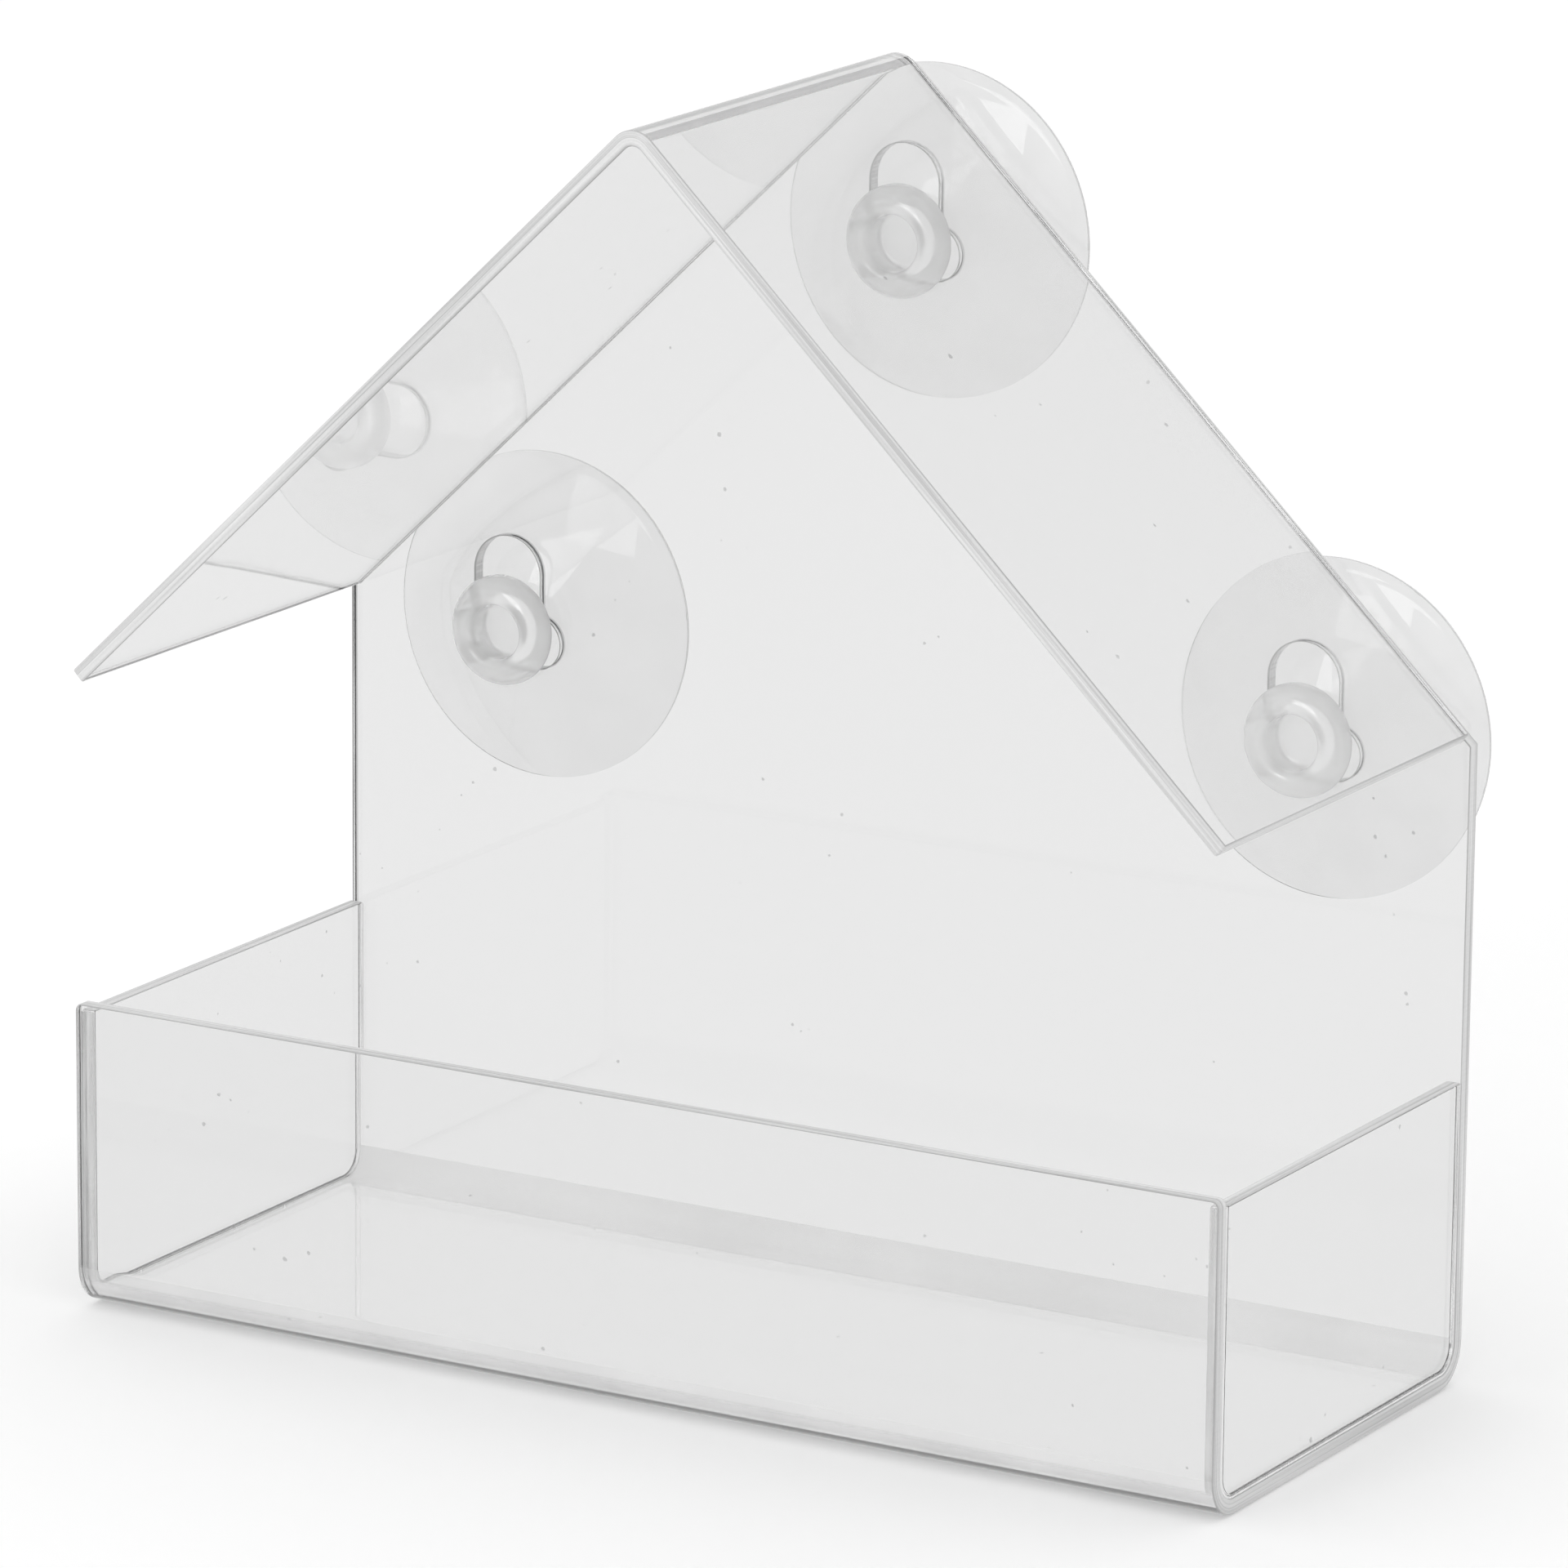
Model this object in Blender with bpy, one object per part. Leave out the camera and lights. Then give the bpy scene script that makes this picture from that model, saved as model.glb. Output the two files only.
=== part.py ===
"""Window bird feeder: a small house of clear acrylic sheet that hangs on a window pane by suction cups.

The front wall, the floor and the gabled back panel are one bent sheet. Two flat side walls stand on its
floor, and the roof, bent once at the ridge, is cemented to the front of the back panel. Each soft cup is
one moulding whose neck slides up and down in a slot of the back panel.

Metres, +Z up, +X to the right, front wall towards -Y, window pane towards +Y.
The origin is the centre of the floor's underside.
"""
from math import asin, atan2, cos, degrees, hypot, pi, radians, sin, sqrt, tan

import bmesh
import bpy
from mathutils import Vector

# Sheet
SHEET = 0.0018              # thickness of the clear acrylic sheet
EDGE_ROUND = 0.00025        # rounding that flame polishing leaves along a cut edge
CEMENT_GAP = 0.0003         # cement line between two sheets

# Body: front wall, floor and gabled back panel, bent from one sheet
BODY_WIDTH = 0.150
BODY_DEPTH = 0.061          # front face of the front wall to the rear face of the back panel
FRONT_HEIGHT = 0.037        # top edge of the front wall above the underside of the floor
BEND_RADIUS = 0.0032        # inside radius of both bends
CORNER_RADIUS = 0.0009      # upper corners of the front wall

# Side walls
SIDE_DROP = 0.001           # front wall's top edge to the side walls' top edges

# Roof
RIDGE_HEIGHT = 0.1473       # top of the roof above the underside of the floor
ROOF_SLOPE = radians(43.8)
RIDGE_RADIUS = 0.0015       # inside radius of the bend at the ridge
GABLE_SETBACK = 0.001       # how far the gable's edges lie below the roof's outer face

# Suction cup, one moulding of soft clear vinyl
CUP_DIAMETER = 0.040
CUP_STANDOFF = 0.0078       # rear face of the back panel to the flat sealing rim
RIM_FLAT = 0.001            # width of the flat sealing rim
RIM_THICKNESS = 0.0005
DOME_DEPTH = 0.0042         # depth of the hollow that is pressed on the pane
SKIRT_CROWN = 0.00036       # how far the skirt's front bulges between collar and rim
NECK_DIAMETER = 0.0082
COLLAR_WIDTH = 0.0011       # flat collar round the neck, which bears on the back panel
COLLAR_RADIUS = 0.0004      # round edge of that collar
HEAD_DIAMETER = 0.0134
HEAD_BAND = 0.0001          # straight band between the head's front and rear rounding
HEAD_REAR_RADIUS = 0.0006   # rounding of the head towards the back panel
BORE_WALL = 0.0008          # wall of the neck round the blind hole in the front of the head
BORE_DEPTH = 0.0034
MOUTH_RADIUS = 0.001        # rounding at the mouth of that hole
GROOVE_PLAY = 0.0003        # gap between the back panel and the head or the collar

# Where the cups sit
UPPER_CUP_DROP = 0.0226     # top of the roof down to the axis of the upper cup
LOWER_CUP_INSET = 0.0221    # side edge of the back panel to the axis of a lower cup
LOWER_CUP_SETBACK = 0.0172  # sloping edge of the back panel to the axis of a lower cup

# Slots of the back panel: an upright slot for the neck over a wide entry slot for the head
SLOT_CLEARANCE = 0.00035    # neck to each side of the upright slot
STOP_GAP = 0.0003           # neck to the end of its travel
CUP_TRAVEL = 0.0068         # how far a cup slides up
ENTRY_CLEARANCE = 0.00055   # rim of the head to each end of the entry slot
ENTRY_HEIGHT = 0.0062

# Facets
BEND_STEPS = 8              # along each bend
ROUND_STEPS = 8             # along each quarter turn of a slot
MOULD_STEPS = 5             # along each quarter turn of a cup's profile
DOME_STEPS = 7
SKIRT_STEPS = 4
COLLAR_STEPS = 2
CUP_SIDES = 48
POLISH_STEPS = 2
CUT_OVERRUN = 0.001         # how far a cutter stands out of the sheet
WELD_DISTANCE = 0.000005    # points closer than this are one
SHARP_ANGLE = radians(35)   # steeper folds are shaded as sharp edges
POLISH_ANGLE = radians(50)  # steeper folds are polished round
ALONG_SHARE = 0.999         # least cosine between an edge and the direction that it runs along

# Finishes
CLEAR_ACRYLIC = {"Base Color": (0.90, 0.90, 0.90, 1.0), "Roughness": 0.04, "IOR": 1.49, "Alpha": 0.35}
CLEAR_VINYL = {"Base Color": (0.86, 0.87, 0.87, 1.0), "Roughness": 0.12, "IOR": 1.52, "Alpha": 0.5}

# Sizes that follow from the ones above
BODY_RADIUS = BEND_RADIUS + SHEET
RIDGE_OUTER_RADIUS = RIDGE_RADIUS + SHEET
RIDGE_CENTRE = RIDGE_HEIGHT - RIDGE_OUTER_RADIUS
FRONT_FACE = -BODY_DEPTH / 2
REAR_FACE = BODY_DEPTH / 2
PANEL_FRONT = REAR_FACE - SHEET
ROOF_HALF_SPAN = BODY_WIDTH / 2
GABLE_RADIUS = RIDGE_OUTER_RADIUS - GABLE_SETBACK
NECK_RADIUS = NECK_DIAMETER / 2
COLLAR_OUTER = NECK_RADIUS + COLLAR_WIDTH
BORE_RADIUS = NECK_RADIUS - BORE_WALL
HEAD_RADIUS = HEAD_DIAMETER / 2
HEAD_FRONT_RADIUS = HEAD_RADIUS - BORE_RADIUS - MOUTH_RADIUS
HEAD_DEPTH = HEAD_FRONT_RADIUS + HEAD_BAND + HEAD_REAR_RADIUS
SLOT_HALF_WIDTH = NECK_RADIUS + SLOT_CLEARANCE
ENTRY_HALF_WIDTH = HEAD_RADIUS + ENTRY_CLEARANCE


def clear_scene():
    """Remove every object, so that the model starts in an empty scene."""
    for old in list(bpy.data.objects):
        bpy.data.objects.remove(old, do_unlink=True)


def clear_plastic(name, finish):
    """A see-through plastic, which is no metal, with a finish given by the shader's own inputs."""
    material = bpy.data.materials.new(name)
    material.use_nodes = True
    shader = material.node_tree.nodes["Principled BSDF"]
    shader.inputs["Metallic"].default_value = 0
    for setting, value in finish.items():
        shader.inputs[setting].default_value = value
    return material


def add_object(name, bm, finish=None, origin=Vector()):
    """Turn a bmesh, built about the given origin, into a smooth-shaded object that stands at that origin."""
    bmesh.ops.recalc_face_normals(bm, faces=bm.faces)
    mesh = bpy.data.meshes.new(name)
    bm.to_mesh(mesh)
    bm.free()
    mesh.shade_smooth()
    mesh.set_sharp_from_angle(angle=SHARP_ANGLE)
    new = bpy.data.objects.new(name, mesh)
    new.location = origin
    bpy.context.collection.objects.link(new)
    if finish:
        mesh.materials.append(clear_plastic(name + "_plastic", finish))
    return new


def arc(centre, radius, start, end, steps):
    """Points along an arc in a plane, from the start angle to the end angle in degrees."""
    turns = [radians(start + (end - start) * k / steps) for k in range(steps + 1)]
    return [(centre[0] + radius * cos(turn), centre[1] + radius * sin(turn)) for turn in turns]


def prism(outline, place, sweep):
    """A bmesh of a closed outline, placed by a function of its two coordinates and swept along a vector."""
    bm = bmesh.new()
    face = bm.faces.new([bm.verts.new(place(a, b)) for a, b in outline])
    swept = bmesh.ops.extrude_face_region(bm, geom=[face])
    moved = [item for item in swept["geom"] if isinstance(item, bmesh.types.BMVert)]
    bmesh.ops.translate(bm, verts=moved, vec=sweep)
    return bm


def polish(obj):
    """Round the cut edges of a sheet, as a flame leaves them."""
    bevel = obj.modifiers.new("flame polish", "BEVEL")
    bevel.width = EDGE_ROUND
    bevel.segments = POLISH_STEPS
    bevel.limit_method = "ANGLE"
    bevel.angle_limit = POLISH_ANGLE


def edges_along(bm, direction, test):
    """Edges that run along a direction and whose middle passes the test."""
    found = []
    for edge in bm.edges:
        run = (edge.verts[1].co - edge.verts[0].co).normalized()
        middle = (edge.verts[0].co + edge.verts[1].co) / 2
        if abs(run.dot(direction)) > ALONG_SHARE and test(middle):
            found.append(edge)
    return found


def round_edges(bm, edges, offset, steps):
    """Round edges of a bmesh by an offset measured along their faces."""
    bmesh.ops.bevel(bm, geom=edges, offset=offset, offset_type="OFFSET", affect="EDGES",
                    segments=steps, profile=0.5, material=-1, clamp_overlap=True)


def cut_above(bm, point, normal):
    """Cut away what lies on the normal's side of a plane, and close the cut."""
    everything = list(bm.verts) + list(bm.edges) + list(bm.faces)
    bmesh.ops.bisect_plane(bm, geom=everything, plane_co=point, plane_no=normal, clear_outer=True)
    bmesh.ops.holes_fill(bm, edges=[edge for edge in bm.edges if edge.is_boundary])


def body_profile():
    """The section of the bent sheet, as (y, z): down the front wall, along the floor, up the back panel."""
    front, rear, outer, inner = FRONT_FACE, REAR_FACE, BODY_RADIUS, BEND_RADIUS
    outside = [(front, FRONT_HEIGHT)]
    outside += arc((front + outer, outer), outer, 180, 270, BEND_STEPS)
    outside += arc((rear - outer, outer), outer, 270, 360, BEND_STEPS)
    outside += [(rear, RIDGE_HEIGHT)]
    inside = [(front + SHEET, FRONT_HEIGHT)]
    inside += arc((front + outer, outer), inner, 180, 270, BEND_STEPS)
    inside += arc((rear - outer, outer), inner, 270, 360, BEND_STEPS)
    inside += [(rear - SHEET, RIDGE_HEIGHT)]
    return outside + inside[::-1]


def slot_outline():
    """The opening round a cup's neck, as (x, z) from the neck's axis at rest."""
    half = SLOT_HALF_WIDTH
    top = CUP_TRAVEL + NECK_RADIUS + STOP_GAP - half
    end = ENTRY_HEIGHT / 2
    middle = end - NECK_RADIUS - STOP_GAP
    reach = ENTRY_HALF_WIDTH - end
    meet = degrees(atan2(sqrt(end * end - (half - reach) ** 2), half - reach))
    outline = arc((0, top), half, 0, 180, 2 * ROUND_STEPS)
    outline += arc((-reach, middle), end, 180 - meet, 270, 2 * ROUND_STEPS)
    outline += arc((reach, middle), end, -90, meet, 2 * ROUND_STEPS)
    return outline


def cup_places():
    """Name of each cup and its neck's axis at rest, on the rear face of the back panel."""
    spread = BODY_WIDTH / 2 - LOWER_CUP_INSET
    below = (LOWER_CUP_SETBACK - GABLE_RADIUS + spread * sin(ROOF_SLOPE)) / cos(ROOF_SLOPE)
    return {
        "suction_cup_top": Vector((0, REAR_FACE, RIDGE_HEIGHT - UPPER_CUP_DROP)),
        "suction_cup_left": Vector((-spread, REAR_FACE, RIDGE_CENTRE - below)),
        "suction_cup_right": Vector((spread, REAR_FACE, RIDGE_CENTRE - below)),
    }


def make_body():
    """The bent sheet: front wall, floor and gabled back panel, with a slot for each cup."""
    left = -BODY_WIDTH / 2
    bm = prism(body_profile(), lambda y, z: (left, y, z), (BODY_WIDTH, 0, 0))
    for side in (-1, 1):
        normal = Vector((side * sin(ROOF_SLOPE), 0, cos(ROOF_SLOPE)))
        cut_above(bm, Vector((0, 0, RIDGE_CENTRE)) + normal * GABLE_RADIUS, normal)
    peak = edges_along(bm, Vector((0, 1, 0)), lambda p: p.z > RIDGE_CENTRE)
    round_edges(bm, peak, GABLE_RADIUS * tan(ROOF_SLOPE), BEND_STEPS)
    corners = edges_along(bm, Vector((0, 1, 0)), lambda p: p.y < 0 and p.z > FRONT_HEIGHT - CORNER_RADIUS)
    round_edges(bm, corners, CORNER_RADIUS, MOULD_STEPS)
    body = add_object("body_sheet", bm, CLEAR_ACRYLIC)
    for name, axis in cup_places().items():
        start = Vector((0, -SHEET - CUT_OVERRUN, 0))
        sweep = (0, SHEET + 2 * CUT_OVERRUN, 0)
        cutter_shape = prism(slot_outline(), lambda x, z: start + Vector((x, 0, z)), sweep)
        cutter = add_object(name + "_slot_cutter", cutter_shape, origin=axis)
        cutter.hide_render = True
        cutter.display_type = "WIRE"
        cut = body.modifiers.new(name + " slot", "BOOLEAN")
        cut.operation = "DIFFERENCE"
        cut.solver = "EXACT"
        cut.object = cutter
    polish(body)
    return body


def make_side_wall(name, side):
    """A flat plate that stands on the floor, level with the ends of the front wall and the back panel."""
    front, rear = FRONT_FACE + SHEET + CEMENT_GAP, PANEL_FRONT - CEMENT_GAP
    bottom = SHEET + CEMENT_GAP
    radius = BEND_RADIUS - CEMENT_GAP
    outline = arc((front + radius, bottom + radius), radius, 180, 270, BEND_STEPS)
    outline += arc((rear - radius, bottom + radius), radius, 270, 360, BEND_STEPS)
    outline += [(rear, FRONT_HEIGHT - SIDE_DROP), (front, FRONT_HEIGHT - SIDE_DROP)]
    outer = side * BODY_WIDTH / 2
    wall = add_object(name, prism(outline, lambda y, z: (outer, y, z), (-side * SHEET, 0, 0)), CLEAR_ACRYLIC)
    polish(wall)
    return wall


def make_roof():
    """The roof: one sheet bent at the ridge, from the front wall's plane to the front of the back panel."""
    slope = degrees(ROOF_SLOPE)
    along = Vector((cos(ROOF_SLOPE), -sin(ROOF_SLOPE)))
    out = Vector((sin(ROOF_SLOPE), cos(ROOF_SLOPE)))
    centre = Vector((0, RIDGE_CENTRE))
    run = (ROOF_HALF_SPAN - RIDGE_OUTER_RADIUS * out.x) / along.x
    eave_outside = centre + out * RIDGE_OUTER_RADIUS + along * run
    eave_inside = centre + out * RIDGE_RADIUS + along * run
    outline = [tuple(eave_outside)]
    outline += arc(centre, RIDGE_OUTER_RADIUS, 90 - slope, 90 + slope, 2 * BEND_STEPS)
    outline += [(-eave_outside.x, eave_outside.y), (-eave_inside.x, eave_inside.y)]
    outline += arc(centre, RIDGE_RADIUS, 90 + slope, 90 - slope, 2 * BEND_STEPS)
    outline += [tuple(eave_inside)]
    depth = PANEL_FRONT - CEMENT_GAP - FRONT_FACE
    roof = add_object("roof", prism(outline, lambda x, z: (x, FRONT_FACE, z), (0, depth, 0)), CLEAR_ACRYLIC)
    polish(roof)
    return roof


def cup_profile():
    """Half the section of a cup, as (radius, y) from the rear face of the back panel, from axis to axis."""
    head_rear = -SHEET - GROOVE_PLAY
    head_front = head_rear - HEAD_DEPTH
    head, front, rear = HEAD_RADIUS, HEAD_FRONT_RADIUS, HEAD_REAR_RADIUS
    cup = CUP_DIAMETER / 2
    rim_front = CUP_STANDOFF - RIM_THICKNESS
    chord = hypot(rim_front - GROOVE_PLAY, cup - COLLAR_OUTER)
    crown = (chord * chord / 4 + SKIRT_CROWN * SKIRT_CROWN) / (2 * SKIRT_CROWN)
    half_turn = degrees(asin(chord / 2 / crown))
    lean = degrees(atan2(rim_front - GROOVE_PLAY, cup - COLLAR_OUTER)) - half_turn
    mouth = (BORE_RADIUS + MOUTH_RADIUS, head_front + MOUTH_RADIUS)
    points = [(0, head_front + BORE_DEPTH), (BORE_RADIUS, head_front + BORE_DEPTH)]
    points += arc(mouth, MOUTH_RADIUS, 180, 270, MOULD_STEPS)
    points += arc((head - front, head_front + front), front, -90, 0, MOULD_STEPS)
    points += arc((head - rear, head_rear - rear), rear, 0, 90, MOULD_STEPS)
    points += [(NECK_RADIUS, head_rear), (NECK_RADIUS, GROOVE_PLAY)]
    corner = (COLLAR_OUTER - COLLAR_RADIUS * tan(radians(lean) / 2), GROOVE_PLAY + COLLAR_RADIUS)
    points += arc(corner, COLLAR_RADIUS, -90, lean - 90, COLLAR_STEPS)
    crown_centre = (COLLAR_OUTER - crown * sin(radians(lean)), GROOVE_PLAY + crown * cos(radians(lean)))
    points += arc(crown_centre, crown, lean - 90, lean - 90 + 2 * half_turn, SKIRT_STEPS)[1:]
    points += [(cup, CUP_STANDOFF)]
    seal = cup - RIM_FLAT
    dome = (seal * seal + DOME_DEPTH * DOME_DEPTH) / (2 * DOME_DEPTH)
    dome_centre = CUP_STANDOFF - DOME_DEPTH + dome
    for k in range(DOME_STEPS + 1):
        radius = seal * (1 - k / DOME_STEPS)
        points.append((radius, dome_centre - sqrt(dome * dome - radius * radius)))
    return points


def make_cup(name, axis):
    """A suction cup, turned about its axis: ringed head, neck, collar, crowned skirt and sealing hollow."""
    bm = bmesh.new()
    verts = [bm.verts.new((radius, y, 0)) for radius, y in cup_profile()]
    edges = [bm.edges.new(pair) for pair in zip(verts, verts[1:])]
    bmesh.ops.spin(bm, geom=verts + edges, cent=(0, 0, 0), axis=(0, 1, 0), angle=2 * pi,
                   steps=CUP_SIDES, use_merge=True)
    bmesh.ops.remove_doubles(bm, verts=bm.verts, dist=WELD_DISTANCE)
    return add_object(name, bm, CLEAR_VINYL, axis)


def main():
    clear_scene()
    make_body()
    make_side_wall("left_side_wall", -1)
    make_side_wall("right_side_wall", 1)
    make_roof()
    for name, axis in cup_places().items():
        make_cup(name, axis)


main()
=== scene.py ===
"""Looks of the window bird feeder: bent acrylic sheet with flame-polished edges, cement lines, vinyl cups.

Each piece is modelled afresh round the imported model, finer than its solids, and rides on the same body.
Metres, +Z up, front wall towards -Y, window pane towards +Y, origin at the centre of the floor's underside.
"""
from math import asin, atan2, cos, hypot, pi, radians, sin, tan

import bmesh
import bpy
from mathutils import Matrix, Vector


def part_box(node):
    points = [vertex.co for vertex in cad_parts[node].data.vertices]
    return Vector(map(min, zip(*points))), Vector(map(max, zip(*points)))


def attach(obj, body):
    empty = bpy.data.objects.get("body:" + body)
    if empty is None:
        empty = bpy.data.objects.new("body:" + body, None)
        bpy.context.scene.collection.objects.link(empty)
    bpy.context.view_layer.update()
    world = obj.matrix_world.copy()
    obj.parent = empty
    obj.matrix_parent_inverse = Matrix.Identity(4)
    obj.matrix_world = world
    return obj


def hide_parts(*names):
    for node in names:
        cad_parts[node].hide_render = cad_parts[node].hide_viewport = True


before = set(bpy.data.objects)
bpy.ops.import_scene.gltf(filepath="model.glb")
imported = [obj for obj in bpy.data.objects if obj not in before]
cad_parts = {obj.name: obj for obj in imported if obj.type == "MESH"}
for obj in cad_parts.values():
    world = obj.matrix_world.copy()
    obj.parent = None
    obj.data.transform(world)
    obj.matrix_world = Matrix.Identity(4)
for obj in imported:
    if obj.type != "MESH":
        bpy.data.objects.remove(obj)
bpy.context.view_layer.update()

bl_info = {
    "name": "Window bird feeder",
    "version": (1, 0, 0),
    "blender": (4, 5, 0),
    "location": "3D View > Sidebar > Bird feeder",
    "description": "Models the looks of a clear window bird feeder round its packed solids",
    "category": "Object",
}

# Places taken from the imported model
BODY_LOW, BODY_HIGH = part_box("body_sheet")
WALL_LOW, WALL_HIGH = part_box("right_side_wall")
ROOF_LOW, ROOF_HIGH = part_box("roof")
CUPS = {"suction_cup_top": "top_cup", "suction_cup_left": "left_cup", "suction_cup_right": "right_cup"}
SHEET = WALL_HIGH.x - WALL_LOW.x
FRONT_FACE, REAR_FACE = BODY_LOW.y, BODY_HIGH.y
PANEL_FRONT = REAR_FACE - SHEET
CEMENT_GAP = PANEL_FRONT - ROOF_HIGH.y

UP, ACROSS, BACK = Vector((0, 0, 1)), Vector((1, 0, 0)), Vector((0, 1, 0))
MILLIMETRE = 0.001
WHITE = "FFFFFF"

# Material slots
EDGE_FINISH, BEND_FINISH, SLOT_FINISH = 1, 2, 3     # of a sheet, after that of its faces
CEMENTED_FINISH = 2                                 # of a side wall, for its cemented ends
HEAD_FINISH, RIM_FINISH = 1, 2                      # of a cup, after that of its disc

# Tones of cut edges, and the lines across a sheet's thickness from its outer face at 0 to its inner face at 1
EDGE_TONES = "D2D2D2", "E6E6E6"
EDGE_LINES = ((0.0, "C4C4C4"), (0.07, "F6F6F6"), (0.38, "F6F6F6"), (0.42, "DCDCDC"), (0.47, WHITE),
              (0.93, WHITE), (1.0, "CCCCCC"))
SLOT_TONES = "F8F8F8", "FCFCFC"
SLOT_LINES = ((0.0, "F6F6F6"), (0.1, WHITE), (0.9, WHITE), (1.0, "F6F6F6"))

RIM_OUTLINE_SHADE = "D0D0D0"         # painted shade: grey tint on a cup's rim, for the fine dark outline its clear edge shows

# Tones of the room from level, 0, to straight above, 1, as seen in gloss and clear sheet and as light
ROOM_SEEN = ((0.0, "EEEEEE"), (0.45, "EAEAEA"), (1.0, "D4D4D4"))
ROOM_LIGHT = ((0.0, "D2D2D2"), (1.0, WHITE))
FLOOR_SEEN = "EEEEEE"       # the floor in gloss and through clear sheet
FLOOR_LIFT = 0.22           # lift of the floor where the camera sees it, which makes it white

# Room round the cups in their slots
SLOT_CLEARANCE = 0.00035    # neck to the slot's sides
STOP_GAP = 0.0003           # neck to the slot's ends
CUP_TRAVEL = 0.0068         # how far a cup slides up
ENTRY_HEIGHT = 0.0062       # height of the wide slot under it
ENTRY_CLEARANCE = 0.00055   # head to the wide slot's ends
SEAM_PLAY = 0.00002         # cement line to the sheets on both its sides

# Small forms of the cups
BORE_WALL = 0.0008          # wall of the neck round the blind hole in the head
BORE_FLOOR_RADIUS = 0.0006  # rounding at the bottom of that hole
MOUTH_RADIUS = 0.001        # rounding at its mouth
HEAD_REAR_RADIUS = 0.0006   # rounding of the head towards the back panel
NECK_RADIUS = 0.0003        # fillet between head and neck
COLLAR_WIDTH = 0.0011       # flat collar round the neck, which bears on the back panel
COLLAR_RADIUS = 0.0004      # round edge of that collar
VINYL_ROUND = 0.0001        # rounding of the rim's edges

# Indices of refraction
ACRYLIC_IOR, VINYL_IOR = 1.49, 1.52

# Steps along the arcs
SLOT_TOP_STEPS, SLOT_FOOT_STEPS = 48, 40
CORNER_STEPS = 8
POLISH_STEPS = 3
BORE_STEPS, MOUTH_STEPS, HEAD_STEPS, REAR_STEPS, NECK_STEPS, SKIRT_STEPS = 6, 10, 20, 8, 5, 24

CUT_ANGLE = radians(50)     # an edge turned by more than this is a cut edge
FLAT_ANGLE = radians(0.5)   # faces that differ by less than this are one flat face
OUTER_HALF = 0.5            # part of a sheet's thickness that takes the haze of a bend
HAZED_RIDGE = 0.4           # half width of the ridge's haze, as a share of the bend's outer radius
STEEP = 0.5                 # a face's slant, as the share of its normal that lies along an axis
NEAR = 0.000001             # two places no farther apart are the same
MERGE = 0.000005            # vertices no farther apart are merged
RIM_BAND = 0.00005          # faces no farther than this inside a cup's radius are its rim

# Softbox in front of the feeder, and the camera at the photo's angle
SOFTBOX_WIDTH, SOFTBOX_HEIGHT = 0.61, 0.583
SOFTBOX_WAY = Vector((-0.1885, -0.9265, 0.3256))
SOFTBOX_AIM, SOFTBOX_DISTANCE = Vector((0, 0, 0.07)), 1.5
FLOOR_HALF, FLOOR_DROP = 6, 0.0002
CAMERA_AZIMUTH, CAMERA_ELEVATION, CAMERA_ROLL = radians(30.203), radians(14.378), radians(0.520)
CAMERA_TARGET, CAMERA_DISTANCE = Vector((0.002193, 0, 0.067206)), 1.0857
CAMERA_LENS, CAMERA_SENSOR, CAMERA_REACH = 218.6, 36, 50


# Shared helpers

def linear(colour):
    """An sRGB hex colour, such as E6E6E6, as linear RGBA."""
    shares = [int(colour[k:k + 2], 16) / 255 for k in (0, 2, 4)]
    return [s / 12.92 if s <= 0.04045 else ((s + 0.055) / 1.055) ** 2.4 for s in shares] + [1.0]


def add_node(tree, kind, inputs=None, stops=(), **settings):
    """Add a node with its settings and a colour ramp's stops, and link or set each input named."""
    node = tree.nodes.new(kind)
    for name, value in settings.items():
        setattr(node, name, value)
    for position, _ in stops[1:-1]:
        node.color_ramp.elements.new(position)
    for k, (position, colour) in enumerate(stops):
        element = node.color_ramp.elements[k]
        element.position = position
        element.color = linear(colour) if isinstance(colour, str) else colour
    for name, value in (inputs or {}).items():
        if isinstance(value, bpy.types.NodeSocket):
            tree.links.new(value, node.inputs[name])
        else:
            node.inputs[name].default_value = value
    return node


def line_to(bm, last, point):
    """Draw a straight edge from the last vertex to a point, and return the vertex there."""
    vert = bm.verts.new(point)
    bm.edges.new((last, vert))
    return vert


def arc_about(bm, last, centre, axis, turn, steps):
    """Draw an arc by spinning the last vertex about a centre, and return the vertex at its end."""
    spun = bmesh.ops.spin(bm, geom=[last], cent=centre, axis=axis, angle=turn, steps=steps)
    return spun["geom_last"][0]


def close_outline(bm, last, first):
    """Join the ends of an outline and fill it with one face."""
    bm.edges.new((last, first))
    return bmesh.ops.contextual_create(bm, geom=list(bm.edges))["faces"][0]


def extrude_along(bm, faces, sweep):
    """Extrude faces along a vector."""
    made = bmesh.ops.extrude_face_region(bm, geom=faces)["geom"]
    bmesh.ops.translate(bm, verts=[v for v in made if isinstance(v, bmesh.types.BMVert)], vec=sweep)


def round_edges(bm, edges, offset, steps):
    """Round edges of a bmesh."""
    bmesh.ops.bevel(bm, geom=edges, offset=offset, offset_type="OFFSET", affect="EDGES",
                    segments=steps, profile=0.5, material=-1, clamp_overlap=True)


def round_corners(bm, verts, offset, steps):
    """Round corners of a flat outline."""
    bmesh.ops.bevel(bm, geom=verts, offset=offset, offset_type="OFFSET", affect="VERTICES",
                    segments=steps, profile=0.5, material=-1)


def as_object(name, bm, *materials):
    """Turn a bmesh into an object of the scene, with its materials in their slots."""
    mesh = bpy.data.meshes.new(name)
    bm.to_mesh(mesh)
    bm.free()
    for material in materials:
        mesh.materials.append(material)
    new = bpy.data.objects.new(name, mesh)
    bpy.context.scene.collection.objects.link(new)
    return new


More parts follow.
